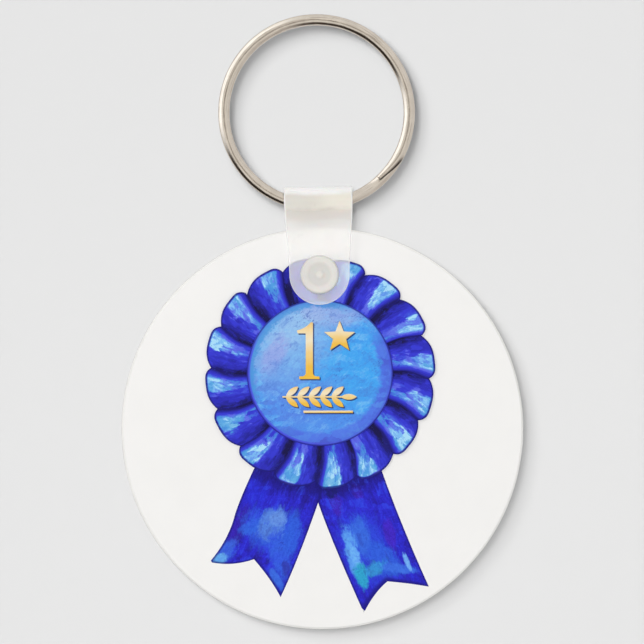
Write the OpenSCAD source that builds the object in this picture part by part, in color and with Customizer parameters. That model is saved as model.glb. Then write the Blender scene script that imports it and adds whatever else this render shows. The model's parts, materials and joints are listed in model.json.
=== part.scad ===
// Award keychain: a round white fob with a first-place award ribbon on its face, hung from a
// split ring by a folded soft strap that a snap closes through the fob.
// Millimetres. The fob hangs along -Z from the ring and its face looks towards -Y.
// The origin is the inside top of the split ring, where the ring hangs on a hook.

/* [Fob] */
// Diameter of the round fob
fob_d = 57.15; // [50:0.05:62]
// Thickness of the white core
core_t = 1.5; // [1.2:0.1:2]
// Thickness of each face sheet on the core
sheet_t = 0.25; // [0.15:0.05:0.3]
// How far the face sheets stop short of the core's edge
sheet_inset = 0.2; // [0:0.05:0.6]
// Where the back face lies behind the middle of the strap
back_y = 1.25; // [1.1:0.05:1.3]

/* [Split ring] */
// Outside diameter of the ring
ring_od = 28; // [26:0.5:30]
// Width of the wire, measured across the ring
wire_w = 1.6; // [1.4:0.1:1.8]
// Thickness of each of the two coils, measured along the ring's axis
coil_t = 0.97; // [0.8:0.01:0.98]
// Radius of the wire's rounded corners
wire_r = 0.42; // [0.3:0.02:0.46]
// Gap between the two coils
coil_gap = 0.06; // [0.04:0.01:0.1]
// Angle over which the wire crosses from the front coil to the rear one
cross_deg = 24; // [18:1:36]
// Middle of the crossing, as an angle up from the +X side
cross_at = -60; // [-64:1:-20]
// Distance between the ring's centre and the fob's centre
ring_to_fob = 44.95; // [44.85:0.05:45.4]

/* [Strap] */
// Thickness of the strap
strap_t = 0.6; // [0.5:0.05:0.7]
// Width of the strap where it folds over the ring
strap_w = 9.75; // [8.5:0.25:10]
// Width of the strap's rounded end, round the snap
tip_w = 8.6; // [7.5:0.1:9]
// Inside radius of the fold
fold_r = 1.55; // [1.52:0.01:1.6]

/* [Snap] */
// Distance from the fob's edge to the snap
snap_inset = 6.7; // [6:0.1:7]
// Diameter of the snap's cap and of its socket
cap_d = 5.5; // [5:0.1:6]
// Thickness of the cap and of the socket
cap_t = 0.95; // [0.8:0.05:1.2]
// Diameter of the shank
shank_d = 2.5; // [2:0.1:2.8]
// Clearance round the shank, on the radius
shank_fit = 0.1; // [0.05:0.01:0.1]

/* [Rosette] */
// Number of pleats
pleats = 16; // [16:1:16]
// Outside radius of the pleats
rosette_r = 16.5; // [15.5:0.1:16.7]
// Radius of the centre button
button_r = 10.4; // [9.5:0.1:10.6]
// Height of the rosette's centre above the fob's centre
rosette_up = 7.9; // [7:0.1:8.2]
// How far the whole picture is turned clockwise on the fob, in degrees
picture_turn = 1.05; // [-3:0.05:3]
// Thickness of the backing and of the tails
base_t = 0.2; // [0.15:0.01:0.2]
// Thickness of the pleats
pleat_t = 0.3; // [0.2:0.02:0.3]
// How far the pleats lean clockwise at their outer end, in degrees
pleat_lean = 2.6; // [0:0.2:4]
// Gap between neighbouring pleats
pleat_gap = 0.04; // [0.02:0.01:0.08]
// Thickness of the button at its middle
button_t = 0.5; // [0.35:0.05:0.5]
// Width of the sloping rim of the button
button_slope = 0.9; // [0.6:0.1:1.2]

/* [Emblem] */
// Thickness of the gold pieces
gold_t = 0.2; // [0.15:0.05:0.3]
// Height of the numeral
one_h = 8.1; // [7:0.1:9]
// Outside radius of the star
star_r = 2.35; // [1.8:0.05:2.6]
// Length of a laurel leaf
leaf_l = 2.3; // [1.8:0.1:2.6]
// Number of pairs of laurel leaves
leaf_pairs = 5; // [3:1:6]

/* [Hidden] */
$fn = 96;
eps = 0.01;

// Depths: every layer starts on the front of the one behind it.
core_back = back_y - sheet_t;
core_front = core_back - core_t;
face_y = core_front - sheet_t;
pleat_back = face_y - base_t;
gold_back = pleat_back - button_t;
leg_out = fold_r + strap_t;

// Heights
wire_mid_r = (ring_od - wire_w) / 2;
ring_z = -(ring_od / 2 - wire_w);
fob_z = ring_z - ring_to_fob;
snap_z = fob_z + fob_d / 2 - snap_inset;
rosette_z = fob_z + rosette_up;
// The wire rises towards both edges of the strap, so the fold is centred halfway up that rise.
wire_rise = wire_mid_r - sqrt(pow(wire_mid_r, 2) - pow(strap_w / 2, 2));
fold_z = ring_z - wire_mid_r + wire_rise / 2;

hole_d = shank_d + 2 * shank_fit;
pitch = 360 / pleats;
backing_r = rosette_r - 1.4;
rosette_x = -0.35;
white = [0.95, 0.945, 0.935];
milky = [0.88, 0.88, 0.88];
blue = [0.17, 0.2, 0.78];
gold = [0.96, 0.78, 0.38];

PLEATS = [for (i = [1:pleats]) str("pleat_", i < 10 ? "0" : "", i)];

// ---- Helpers ----

// Stands a flat outline up in the XZ plane, from y = back towards the front by t.
module slab(back, t) {
    translate([0, back, 0]) rotate([90, 0, 0]) linear_extrude(t) children();
}

// Turns a piece of the picture about the fob's centre.
module picture() {
    translate([0, 0, fob_z]) rotate([0, picture_turn, 0]) translate([0, 0, -fob_z]) children();
}

// The hole for the snap's shank, right through the object.
module shank_hole() {
    translate([0, 10, snap_z]) rotate([90, 0, 0]) cylinder(d = hole_d, h = 20);
}

// A rectangle with rounded corners, centred on the origin.
module round_rect(w, h, r) {
    square([w - 2 * r, h], center = true);
    square([w, h - 2 * r], center = true);
    for (sx = [-1, 1], sy = [-1, 1]) {
        translate([sx * (w / 2 - r), sy * (h / 2 - r)]) circle(r, $fn = 32);
    }
}

// A point at radius r and a degrees clockwise from the top of the rosette.
function clock(r, a) = [rosette_x + r * sin(a), rosette_z + r * cos(a)];

// Points along a curve from a to b that bends towards c.
function bend(a, c, b, n = 8) = [
    for (i = [0:n - 1]) let (t = i / n) (1 - t) * (1 - t) * a + 2 * t * (1 - t) * c + t * t * b
];

// ---- Split ring ----

// One coil, from angle a0 through deg, with its middle at y.
module coil(y, a0, deg) {
    translate([0, y, ring_z])
        rotate([90, 0, 0])
            rotate([0, 0, a0])
                rotate_extrude(angle = deg) translate([wire_mid_r, 0]) round_rect(wire_w, coil_t, wire_r);
}

// The wire's outline at the crossing, a little smaller than the coils that it runs into.
cross_sides = 20;
cross_rings = 14;
cross_bite = 1.5;
cross_w = wire_w / 2 - wire_r - eps;
cross_h = coil_t / 2 - wire_r - eps;
function sign_of(v) = v < 0 ? -1 : 1;
function cross_point(a, y, k) =
    let (
        s = 360 * (k + 0.5) / cross_sides,
        r = wire_mid_r + sign_of(cos(s)) * cross_w + wire_r * cos(s),
        d = y + sign_of(sin(s)) * cross_h + wire_r * sin(s)
    ) [r * cos(a), d, ring_z + r * sin(a)];

// The slanted stretch of wire that joins the end of the front coil to the start of the rear one.
module crossing(a0, a1, y0, y1) {
    rows = [
        for (i = [0:cross_rings])
            let (t = i / cross_rings, ease = t * t * (3 - 2 * t))
                [for (k = [0:cross_sides - 1])
                    cross_point(a0 + (a1 - a0) * t, y0 + (y1 - y0) * ease, k)]
    ];
    points = [for (row = rows) each row];
    last = cross_rings * cross_sides;
    sides = [
        for (i = [0:cross_rings - 1], k = [0:cross_sides - 1])
            let (j = (k + 1) % cross_sides, a = i * cross_sides, b = a + cross_sides)
                [a + k, b + k, b + j, a + j]
    ];
    ends = [
        [for (k = [0:cross_sides - 1]) k],
        [for (k = [cross_sides - 1:-1:0]) last + k]
    ];
    polyhedron(points, concat(sides, ends));
}

module split_ring() {
    coil_y = (coil_t + coil_gap) / 2;
    front_end = cross_at + cross_deg / 2;
    rear_end = cross_at - cross_deg / 2;
    turn = 360 - cross_deg;
    color([0.78, 0.74, 0.69]) {
        coil(-coil_y, front_end, turn);
        coil(coil_y, front_end, turn);
        crossing(rear_end - cross_bite, front_end + cross_bite, -coil_y, coil_y);
    }
}

// ---- Strap and snap ----

module strap_profile() {
    translate([0, fold_z]) difference() {
        circle(leg_out);
        circle(fold_r);
        translate([-10, -20]) square([20, 20]);
    }
    for (side = [-1, 1]) {
        translate([side * (fold_r + strap_t / 2) - strap_t / 2, snap_z - tip_w]) {
            square([strap_t, fold_z - snap_z + tip_w]);
        }
    }
}

module strap_face() {
    translate([0, snap_z]) circle(d = tip_w);
    polygon([
        [-tip_w / 2, snap_z],
        [tip_w / 2, snap_z],
        [strap_w / 2, fold_z - 1],
        [strap_w / 2, fold_z + 5],
        [-strap_w / 2, fold_z + 5],
        [-strap_w / 2, fold_z - 1]
    ]);
}

module strap() {
    color(milky) difference() {
        intersection() {
            translate([-10, 0, 0]) rotate([90, 0, 90]) linear_extrude(20) strap_profile();
            slab(10, 20) strap_face();
        }
        shank_hole();
    }
}

// The cap's half outline: a ring-shaped dimple round a small raised dot.
cap_edge = 0.3;
dimple_in = 0.5;
dimple_out = 1.75;
dimple_deep = 0.22;
module cap_outline() {
    difference() {
        union() {
            square([cap_d / 2 - cap_edge, cap_t]);
            square([cap_d / 2, cap_t - cap_edge]);
            translate([cap_d / 2 - cap_edge, cap_t - cap_edge]) circle(cap_edge, $fn = 32);
        }
        polygon([
            [dimple_in, cap_t + 1],
            [dimple_in, cap_t - dimple_deep / 2],
            [(dimple_in + dimple_out) / 2, cap_t - dimple_deep],
            [dimple_out, cap_t],
            [dimple_out, cap_t + 1]
        ]);
    }
}

// The front cap and its shank, which goes through the strap, the fob and the socket.
module snap_stud() {
    shank_l = 2 * leg_out + cap_t;
    tip_cut = 0.3;
    color(milky) translate([0, -leg_out, snap_z]) {
        rotate([90, 0, 0]) rotate_extrude() cap_outline();
        rotate([-90, 0, 0]) {
            translate([0, 0, -eps]) cylinder(d = shank_d, h = shank_l - tip_cut + eps);
            translate([0, 0, shank_l - tip_cut]) {
                cylinder(d1 = shank_d, d2 = shank_d - 2 * tip_cut, h = tip_cut);
            }
        }
    }
}

module snap_socket() {
    color(milky) translate([0, leg_out, snap_z]) rotate([-90, 0, 0]) difference() {
        rotate_extrude() {
            square([cap_d / 2 - cap_edge, cap_t]);
            square([cap_d / 2, cap_t - cap_edge]);
            translate([cap_d / 2 - cap_edge, cap_t - cap_edge]) circle(cap_edge, $fn = 32);
        }
        translate([0, 0, -1]) cylinder(d = hole_d, h = cap_t + 2);
        translate([0, 0, cap_t - 0.2]) cylinder(d1 = hole_d, d2 = hole_d + 0.9, h = 0.4);
    }
}

// ---- Fob ----

module fob_disc(back, t, d) {
    difference() {
        slab(back, t) translate([0, fob_z]) circle(d = d, $fn = 180);
        shank_hole();
    }
}

module disc_core() {
    color(white) fob_disc(core_back, core_t, fob_d);
}

module front_sheet() {
    color(white) fob_disc(core_front, sheet_t, fob_d - 2 * sheet_inset);
}

module back_sheet() {
    color(white) fob_disc(back_y, sheet_t, fob_d - 2 * sheet_inset);
}

// ---- Rosette ----

module rosette_backing() {
    color([0.1, 0.1, 0.4]) difference() {
        picture() slab(face_y, base_t) translate([rosette_x, rosette_z]) circle(backing_r);
        shank_hole();
    }
}

// A pleat's outer edge: it rises from under its neighbour and rolls over on its clockwise side.
edge_steps = 20;
edge_start_drop = 1.5;
edge_end_drop = 0.9;
edge_top = 0.6;
edge_roll = 0.74;
function edge_r(t) =
    rosette_r
    - (t < edge_top ? edge_start_drop * pow(1 - t / edge_top, 2.4) : 0)
    - (t > edge_roll ? edge_end_drop * pow((t - edge_roll) / (1 - edge_roll), 2.2) : 0);

// Clockwise angle of a pleat's side at radius r, and half the gap beside it as an angle.
function side_a(r) = pleat_lean * (pow((r - button_r) / (rosette_r - button_r), 2) - 0.5);
function gap_a(r) = pleat_gap / 2 / r * 180 / PI;

module pleat(index) {
    inner_r = button_r + 0.03;
    a0 = index * pitch;
    steps = 6;
    left = [
        for (i = [0:steps - 1]) let (r = inner_r + (edge_r(0) - inner_r) * i / steps)
            clock(r, a0 + side_a(r) + gap_a(r))
    ];
    edge = [
        for (i = [0:edge_steps]) let (t = i / edge_steps, r = edge_r(t), g = gap_a(r))
            clock(r, a0 + side_a(r) + g + (pitch - 2 * g) * t)
    ];
    right = [
        for (i = [steps - 1:-1:0]) let (r = inner_r + (edge_r(1) - inner_r) * i / steps)
            clock(r, a0 + pitch + side_a(r) - gap_a(r))
    ];
    inner = [clock(inner_r, a0 + pitch * 2 / 3), clock(inner_r, a0 + pitch / 3)];
    color(blue) difference() {
        picture() slab(pleat_back, pleat_t) difference() {
            polygon(concat(left, edge, right, inner));
            translate([rosette_x, rosette_z]) circle(button_r + 0.02, $fn = 180);
        }
        shank_hole();
    }
}

module centre_button() {
    rim_t = pleat_t;
    color([0.38, 0.63, 0.93]) picture() {
        translate([rosette_x, pleat_back, rosette_z]) rotate([90, 0, 0]) rotate_extrude($fn = 180) {
            polygon([
                [0, 0],
                [button_r, 0],
                [button_r, rim_t * 0.6],
                [button_r - 0.12, rim_t],
                [button_r - button_slope, button_t],
                [0, button_t]
            ]);
        }
    }
}

// ---- Tails ----

// Corners of the tails, measured from the fob's centre: hem tips, notches and the crotch between them.
left_top = [-8.6, -4];
left_side = [-9.85, -5.6];
left_waist = [-12.45, -12.1];
left_tip_out = [-16.1, -19.05];
left_notch = [-9.75, -18.6];
left_tip_in = [-5.95, -24.05];
crotch = [-0.6, -10.5];
crotch_top = [0, -7];

right_top = [7.8, -4];
right_side = [8.7, -5.75];
right_tip_out = [15.2, -22.55];
right_notch = [9.25, -21.8];
right_tip_in = [5.9, -26.3];
tail_gap = [0.06, 0];

// Lays a tail's outline on the fob and cuts away what would lie on the backing.
module tail(outline) {
    color([0.16, 0.15, 0.72]) picture() slab(face_y, base_t) difference() {
        translate([0, fob_z]) polygon(outline);
        translate([rosette_x, rosette_z]) circle(backing_r + 0.03);
    }
}

module tail_left() {
    tail(concat(
        [left_top],
        bend(left_side, [-11.5, -9], left_waist),
        bend(left_waist, [-13.3, -15.8], left_tip_out),
        bend(left_tip_out, [-12.8, -19.7], left_notch),
        bend(left_notch, [-7.3, -21.4], left_tip_in),
        bend(left_tip_in, [-3.5, -18.9], crotch),
        [crotch, crotch_top]
    ));
}

module tail_right() {
    tail(concat(
        [crotch_top + tail_gap],
        bend(crotch + tail_gap, [1.1, -15.6], right_tip_in),
        bend(right_tip_in, [7.3, -23.4], right_notch),
        bend(right_notch, [12.3, -22], right_tip_out),
        bend(right_tip_out, [11, -13.8], right_side),
        [right_side, right_top]
    ));
}

// ---- Emblem ----

// A gold piece standing on the button, drawn from the fob's centre.
module gold_piece() {
    color(gold) picture() slab(gold_back, gold_t) translate([0, fob_z]) children();
}

one_x = -1.85;
one_z = 7;
stem_w = 1.05;
foot_w = 2.9;
foot_h = 0.42;
flag_w = 1.25;
bracket = 0.6;
flag_drop = 1.15;
flag_t = 0.45;
module numeral_one() {
    side = stem_w / 2;
    flag_tip = [-side - flag_w, one_h - flag_drop];
    gold_piece() translate([one_x, one_z]) polygon(concat(
        [[-foot_w / 2, 0], [foot_w / 2, 0], [foot_w / 2, foot_h]],
        bend([stem_w, foot_h], [side, foot_h], [side, foot_h + bracket]),
        [[side, foot_h + bracket], [side, one_h]],
        bend([side / 3, one_h], [-side, one_h - 0.9], flag_tip),
        [flag_tip, flag_tip + [0.1, -flag_t], [-side, one_h - flag_drop - flag_t]],
        bend([-side, foot_h + bracket], [-side, foot_h], [-stem_w, foot_h]),
        [[-stem_w, foot_h], [-foot_w / 2, foot_h]]
    ));
}

star_at = [2.45, 13];
star_points = 5;
star_waist = 0.42;
module star() {
    gold_piece() translate(star_at) polygon([
        for (i = [0:2 * star_points - 1])
            let (r = i % 2 == 0 ? star_r : star_r * star_waist, a = 180 * i / star_points)
                [r * sin(a), r * cos(a)]
    ]);
}

// A leaf: two arcs that meet in points, lying along +X from its foot.
leaf_w = 0.85;
module leaf() {
    arc_r = (pow(leaf_l / 2, 2) + pow(leaf_w / 2, 2)) / leaf_w;
    translate([leaf_l / 2, 0]) intersection() {
        translate([0, arc_r - leaf_w / 2]) circle(arc_r);
        translate([0, leaf_w / 2 - arc_r]) circle(arc_r);
    }
}

sprig_x0 = -5.2;
sprig_x1 = 2.9;
sprig_z = 4.5;
sprig_h = 0.24;
leaf_turn = 40;
module laurel_sprig() {
    gold_piece() {
        translate([sprig_x0 - 0.5, sprig_z - sprig_h / 2]) square([sprig_x1 - sprig_x0 + 0.7, sprig_h]);
        for (i = [0:leaf_pairs - 1], side = [-1, 1]) {
            translate([sprig_x0 + (sprig_x1 - sprig_x0) * i / leaf_pairs, sprig_z])
                rotate(side * leaf_turn) leaf();
        }
        translate([sprig_x1 - 0.3, sprig_z]) leaf();
    }
}

bar_x0 = -2.7;
bar_x1 = 4.35;
bar_z = 2.2;
bar_h = 0.36;
module underline_bar() {
    gold_piece() translate([bar_x0, bar_z]) square([bar_x1 - bar_x0, bar_h]);
}

split_ring();
strap();
snap_stud();
snap_socket();
disc_core();
front_sheet();
back_sheet();
rosette_backing();
tail_left();
tail_right();
for (i = [1:pleats]) {
    pleat(i - 1);
}
centre_button();
numeral_one();
star();
laurel_sprig();
underline_bar();
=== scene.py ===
"""Looks of the award keychain: a white fob with a painted ribbon, a milky strap and a nickel split ring."""

import json
import math
import random
from math import cos, pi, radians, sin

import bmesh
import bpy
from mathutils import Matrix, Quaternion, Vector
from mathutils.geometry import delaunay_2d_cdt

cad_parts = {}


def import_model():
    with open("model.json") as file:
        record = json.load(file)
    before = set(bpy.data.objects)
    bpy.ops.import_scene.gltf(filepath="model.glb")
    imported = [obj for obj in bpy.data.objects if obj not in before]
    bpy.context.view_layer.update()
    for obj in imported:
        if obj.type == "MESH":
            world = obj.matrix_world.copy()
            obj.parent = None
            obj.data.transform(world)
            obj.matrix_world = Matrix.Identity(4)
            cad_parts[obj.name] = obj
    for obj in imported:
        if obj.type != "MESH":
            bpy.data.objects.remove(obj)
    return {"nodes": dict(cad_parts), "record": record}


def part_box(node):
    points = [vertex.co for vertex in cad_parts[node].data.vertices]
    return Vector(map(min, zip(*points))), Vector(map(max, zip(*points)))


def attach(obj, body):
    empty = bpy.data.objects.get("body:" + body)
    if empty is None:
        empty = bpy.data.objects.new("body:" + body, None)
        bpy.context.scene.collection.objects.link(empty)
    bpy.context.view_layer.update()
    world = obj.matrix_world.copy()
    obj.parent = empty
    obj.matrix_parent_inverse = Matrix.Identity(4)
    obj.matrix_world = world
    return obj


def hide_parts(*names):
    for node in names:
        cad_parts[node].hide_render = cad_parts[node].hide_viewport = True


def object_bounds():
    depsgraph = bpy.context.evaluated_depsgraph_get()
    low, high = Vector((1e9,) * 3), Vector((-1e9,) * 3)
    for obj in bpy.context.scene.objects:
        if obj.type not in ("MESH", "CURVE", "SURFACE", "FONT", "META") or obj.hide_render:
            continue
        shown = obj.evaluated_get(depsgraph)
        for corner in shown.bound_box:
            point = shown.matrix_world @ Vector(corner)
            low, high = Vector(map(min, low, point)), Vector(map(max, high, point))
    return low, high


MM = 0.001
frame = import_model()
cad_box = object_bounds()
nodes = frame["nodes"]
joints = {j["name"]: j for j in frame["record"]["behaviour"]["joints"]}


# ---- places

def middle(node):
    low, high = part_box(node)
    return (low + high) / 2


def half_width(node):
    low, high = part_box(node)
    return (high.x - low.x) / 2


RING = middle("split_ring")
RING_R = half_width("split_ring") - 0.002 * MM
RING_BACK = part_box("split_ring")[1].y
WIRE_W = 1.6 * MM
COIL_T = 0.97 * MM
CROSS_AT = radians(-60)
CROSS = radians(24)
CHISEL = radians(21)

FOB = middle("disc_core")

BUTTON = middle("centre_button")
BUTTON_R = half_width("centre_button")
BUTTON_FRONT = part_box("centre_button")[0].y
PLEAT_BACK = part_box("pleat_01")[1].y
PLEAT_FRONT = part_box("pleat_01")[0].y
PLEATS = sorted(name for name in nodes if name.startswith("pleat_"))
PITCH = 2 * pi / len(PLEATS)
ROSETTE_R = 16.5 * MM
PICTURE_TURN = radians(1.05)
ROSETTE_AT = (-0.35, 7.87)

FOLD = Vector(joints["fob_swing"]["pos_m"])
SNAP = Vector(joints["fob_swivel"]["pos_m"])
LEG_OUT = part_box("strap")[1].y
STRAP_T = 0.6 * MM
STRAP_W = 2 * half_width("strap")
BEND_R = LEG_OUT - STRAP_T / 2
BEND = BEND_R * pi / 2
TIP_R = SNAP.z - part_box("strap")[0].z
CAP_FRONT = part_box("snap_stud")[0].y
STUD_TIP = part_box("snap_stud")[1].y
CAP_R = half_width("snap_stud")
HOLE_R = 1.35 * MM
SHANK_R = 1.25 * MM
DISH_R = 1.75 * MM


# ---- small helpers

def srgb(r, g, b):
    """A display colour, 0 to 255, as linear RGBA."""
    def linear(c):
        c /= 255
        return c / 12.92 if c <= 0.04045 else ((c + 0.055) / 1.055) ** 2.4
    return (linear(r), linear(g), linear(b), 1)


def smooth(x, a, b):
    """0 at a, 1 at b, and eased between them; b may be the lower one."""
    t = min(max((x - a) / (b - a), 0), 1)
    return t * t * (3 - 2 * t)


def lerp(a, b, t):
    return a + (b - a) * t


class Graph:
    """A node tree and short ways to add nodes to it."""

    def __init__(self, owner):
        owner.use_nodes = True
        self.tree = owner.node_tree

    def node(self, kind, inputs=(), **settings):
        """A new node with its inputs set or linked."""
        made = self.tree.nodes.new("ShaderNode" + kind)
        for name, value in settings.items():
            setattr(made, name, value)
        for name, value in dict(inputs).items():
            self.put(value, made.inputs[name])
        return made

    def first(self, kind, inputs=(), **settings):
        """The first output of a new node."""
        return self.node(kind, inputs, **settings).outputs[0]

    def put(self, value, socket):
        """Links an output or sets a value; three numbers for a colour are a display colour, 0 to 255."""
        if hasattr(value, "is_output"):
            self.tree.links.new(value, socket)
        elif socket.type == "RGBA" and len(value) == 3:
            socket.default_value = srgb(*value)
        else:
            socket.default_value = value

    def math(self, operation, a, b=0, c=0):
        return self.first("Math", {0: a, 1: b, 2: c}, operation=operation)

    def add(self, a, b):
        return self.math("ADD", a, b)

    def sub(self, a, b):
        return self.math("SUBTRACT", a, b)

    def mul(self, a, b):
        return self.math("MULTIPLY", a, b)

    def mad(self, a, b, c):
        """a times b, plus c."""
        return self.math("MULTIPLY_ADD", a, b, c)

    def most(self, a, b):
        return self.math("MAXIMUM", a, b)

    def length(self, a, b):
        return self.math("SQRT", self.mad(a, a, self.mul(b, b)))

    def uv(self):
        return self.first("UVMap", uv_map="UVMap")

    def place(self):
        """Position on the piece, in the piece's own metres."""
        return self.node("TexCoord").outputs["Object"]

    def attribute(self, name):
        return self.node("Attribute", attribute_name=name).outputs["Fac"]

    def split(self, vector):
        return self.node("SeparateXYZ", {0: vector}).outputs

    def join(self, x, y, z=0):
        return self.first("CombineXYZ", {0: x, 1: y, 2: z})

    def noise(self, vector, scale, detail=3, roughness=0.55, twist=0):
        """Smooth noise, 0 to 1."""
        return self.first("TexNoise", {
            "Vector": vector, "Scale": scale, "Detail": detail, "Roughness": roughness, "Distortion": twist,
        })

    def marks(self, vector, detail=3, roughness=0.6, twist=0):
        """Noise one unit wide, about -0.5 to 0.5."""
        return self.sub(self.noise(vector, 1, detail, roughness, twist), 0.5)

    def cells(self, vector, bend_x, bend_y):
        """A value, -0.5 to 0.5, for each cell of a mosaic one unit wide with bent borders."""
        bend = self.join(bend_x, bend_y)
        bent = self.first("VectorMath", {0: vector, 1: bend}, operation="ADD")
        made = self.node("TexVoronoi", {"Vector": bent, "Scale": 1, "Randomness": 1})
        return self.sub(self.split(made.outputs["Color"])[0], 0.5)

    def turned(self, vector, degrees, scale=(1, 1, 1)):
        """The vector, scaled and then turned about Z."""
        turn = (0, 0, radians(degrees))
        return self.first("Mapping", {"Vector": vector, "Rotation": turn, "Scale": scale})

    def stretch(self, vector, scale):
        return self.turned(vector, 0, scale)

    def ease(self, value, low, high, to_low=0, to_high=1):
        """Smooth step of value from low to high."""
        ends = {"From Min": low, "From Max": high, "To Min": to_low, "To Max": to_high}
        return self.first("MapRange", {"Value": value, **ends}, interpolation_type="SMOOTHSTEP")

    def fall(self, value, low, high):
        """Smooth step of value, from 1 at low to 0 at high."""
        return self.ease(value, low, high, 1, 0)

    def band(self, value, start, full, fade, end):
        """1 between full and fade, 0 outside start to end."""
        return self.mul(self.ease(value, start, full), self.fall(value, fade, end))

    def blend(self, factor, a, b):
        """From shader a to shader b."""
        return self.first("MixShader", {0: factor, 1: a, 2: b})

    def mix(self, factor, a, b, blend="MIX"):
        """From colour a to colour b."""
        inputs = {"Factor": factor, 6: a, 7: b}
        return self.node("Mix", inputs, data_type="RGBA", blend_type=blend).outputs[2]

    def ramp(self, value, *stops):
        """A colour for the value; a stop is its position and a display colour, a linear one or a grey."""
        made = self.node("ValToRGB", {"Fac": value})
        elements = made.color_ramp.elements
        stops = [(at, (c, c, c, 1) if isinstance(c, float) else srgb(*c) if len(c) == 3 else c)
                 for at, c in stops]
        elements[0].position, elements[0].color = stops[0]
        elements[1].position, elements[1].color = stops[-1]
        for position, colour in stops[1:-1]:
            elements.new(position).color = colour
        return made.outputs["Color"]

    def steps(self, value, *colours):
        """Paint laid in flat steps from low to high, with narrow blends between them."""
        width = 1 / len(colours)
        stops = []
        for i, colour in enumerate(colours):
            stops += [((i + 0.3) * width, colour), ((i + 0.7) * width, colour)]
        return self.ramp(value, *stops)


class Paint(Graph):
    """A new material on the principled shader."""

    def __init__(self, name, **values):
        self.material = bpy.data.materials.new(name)
        super().__init__(self.material)
        self.shader = self.tree.nodes["Principled BSDF"]
        self.set(**values)

    def set(self, **values):
        """Sets or links inputs of the shader, named with _ for a space."""
        for name, value in values.items():
            self.put(value, self.shader.inputs[name.replace("_", " ")])

    def over(self, factor, colour):
        """Lays a colour over the paint so far."""
        self.paint = self.mix(factor, self.paint, colour)

    def overlay(self, amount, value):
        """Makes the paint darker and lighter by a value from -0.2 to 0.2."""
        grey = self.ease(value, -0.2, 0.2, 0.25, 0.75)
        self.paint = self.mix(amount, self.paint, self.join(grey, grey, grey), "OVERLAY")

    def colour(self, value):
        self.set(Base_Color=value)

    def roughness(self, value):
        self.set(Roughness=value)

    def bump(self, height, strength, distance):
        self.set(Normal=self.first("Bump", {"Height": height, "Strength": strength, "Distance": distance}))


def placed(name, data):
    """A new object in the scene."""
    made = bpy.data.objects.new(name, data)
    bpy.context.collection.objects.link(made)
    return made


def build(name, points, faces, material, uvs=None, tags=None):
    """A mesh piece with smooth shading; uvs and tags hold one entry per point."""
    mesh = bpy.data.meshes.new(name)
    mesh.from_pydata([tuple(p) for p in points], [], faces)
    if uvs:
        layer = mesh.uv_layers.new(name="UVMap")
        for loop in mesh.loops:
            layer.data[loop.index].uv = uvs[loop.vertex_index]
    for tag, value in (tags or {}).items():
        layer = mesh.attributes.new(tag, "FLOAT", "POINT")
        layer.data.foreach_set("value", value if isinstance(value, list) else [value] * len(points))
    made = placed(name, mesh)
    mesh.materials.append(material)
    tidy(made)
    return made


SHARP_EDGE = radians(40)
DOUBLED = 1e-7


def tidy(piece):
    """Joins doubled points, turns the faces outwards and shades them smoothly."""
    work = bmesh.new()
    work.from_mesh(piece.data)
    bmesh.ops.remove_doubles(work, verts=work.verts, dist=DOUBLED)
    bmesh.ops.recalc_face_normals(work, faces=work.faces)
    if work.calc_volume(signed=True) < 0:
        bmesh.ops.reverse_faces(work, faces=work.faces)
    for face in work.faces:
        face.smooth = True
    for edge in work.edges:
        edge.smooth = len(edge.link_faces) != 2 or edge.calc_face_angle(0) < SHARP_EDGE
    work.to_mesh(piece.data)
    work.free()


def grid_faces(rows, columns, wrap_rows=False, wrap_columns=False):
    """Quads over a grid of rows times columns points."""
    quads = []
    for i in range(rows - 1 + wrap_rows):
        for j in range(columns - 1 + wrap_columns):
            i2 = (i + 1) % rows
            j2 = (j + 1) % columns
            quads.append((i * columns + j, i * columns + j2, i2 * columns + j2, i2 * columns + j))
    return quads


def border(rows, columns):
    """The points round the edge of a grid, in order."""
    points = [i * columns for i in range(rows)]
    points += [(rows - 1) * columns + j for j in range(1, columns)]
    points += [i * columns + columns - 1 for i in range(rows - 2, -1, -1)]
    points += list(range(columns - 2, 0, -1))
    return points


def walls(a, b):
    """Quads between two closed rows of points."""
    return list(zip(a, a[1:] + a[:1], b[1:] + b[:1], b))


def quarter(count):
    """Sine and 1 - cosine at the steps of a quarter turn, its start left out."""
    turns = [pi / 2 * k / count for k in range(1, count + 1)]
    return [(sin(a), 1 - cos(a)) for a in turns]


def flat(x, z, y):
    """A point of the upright plane at depth y."""
    return Vector((x, y, z))


def polar(centre, r, a):
    """X and Z at radius r and angle a, clockwise from the top."""
    return centre.x + r * sin(a), centre.z + r * cos(a)


def lathe(name, profile, centre, material, turns=192, closed=True):
    """Turns a profile of (radius, y) points about the line along Y through centre."""
    points = []
    for i in range(turns):
        points += [flat(*polar(centre, r, 2 * pi * i / turns), y) for r, y in profile]
    faces = grid_faces(turns, len(profile), wrap_rows=True, wrap_columns=closed)
    return build(name, points, faces, material)


def rounded(points, radii, steps=5):
    """A closed outline with each corner cut back by its radius along a curve."""
    out = []
    count = len(points)
    for i, (p, r) in enumerate(zip(points, radii)):
        p = Vector(p)
        before = Vector(points[i - 1])
        after = Vector(points[(i + 1) % count])
        if r == 0:
            out.append(p)
            continue
        start = p + (before - p).normalized() * r
        end = p + (after - p).normalized() * r
        for k in range(steps + 1):
            t = k / steps
            out.append((1 - t) ** 2 * start + 2 * t * (1 - t) * p + t * t * end)
    return [tuple(p) for p in out]


def circle(centre, radius, count):
    """A round outline that an inset makes smaller; a hole has a negative radius."""
    def outline(inset):
        return [polar(centre, abs(radius - inset), 2 * pi * k / count) for k in range(count)]
    return outline


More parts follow.
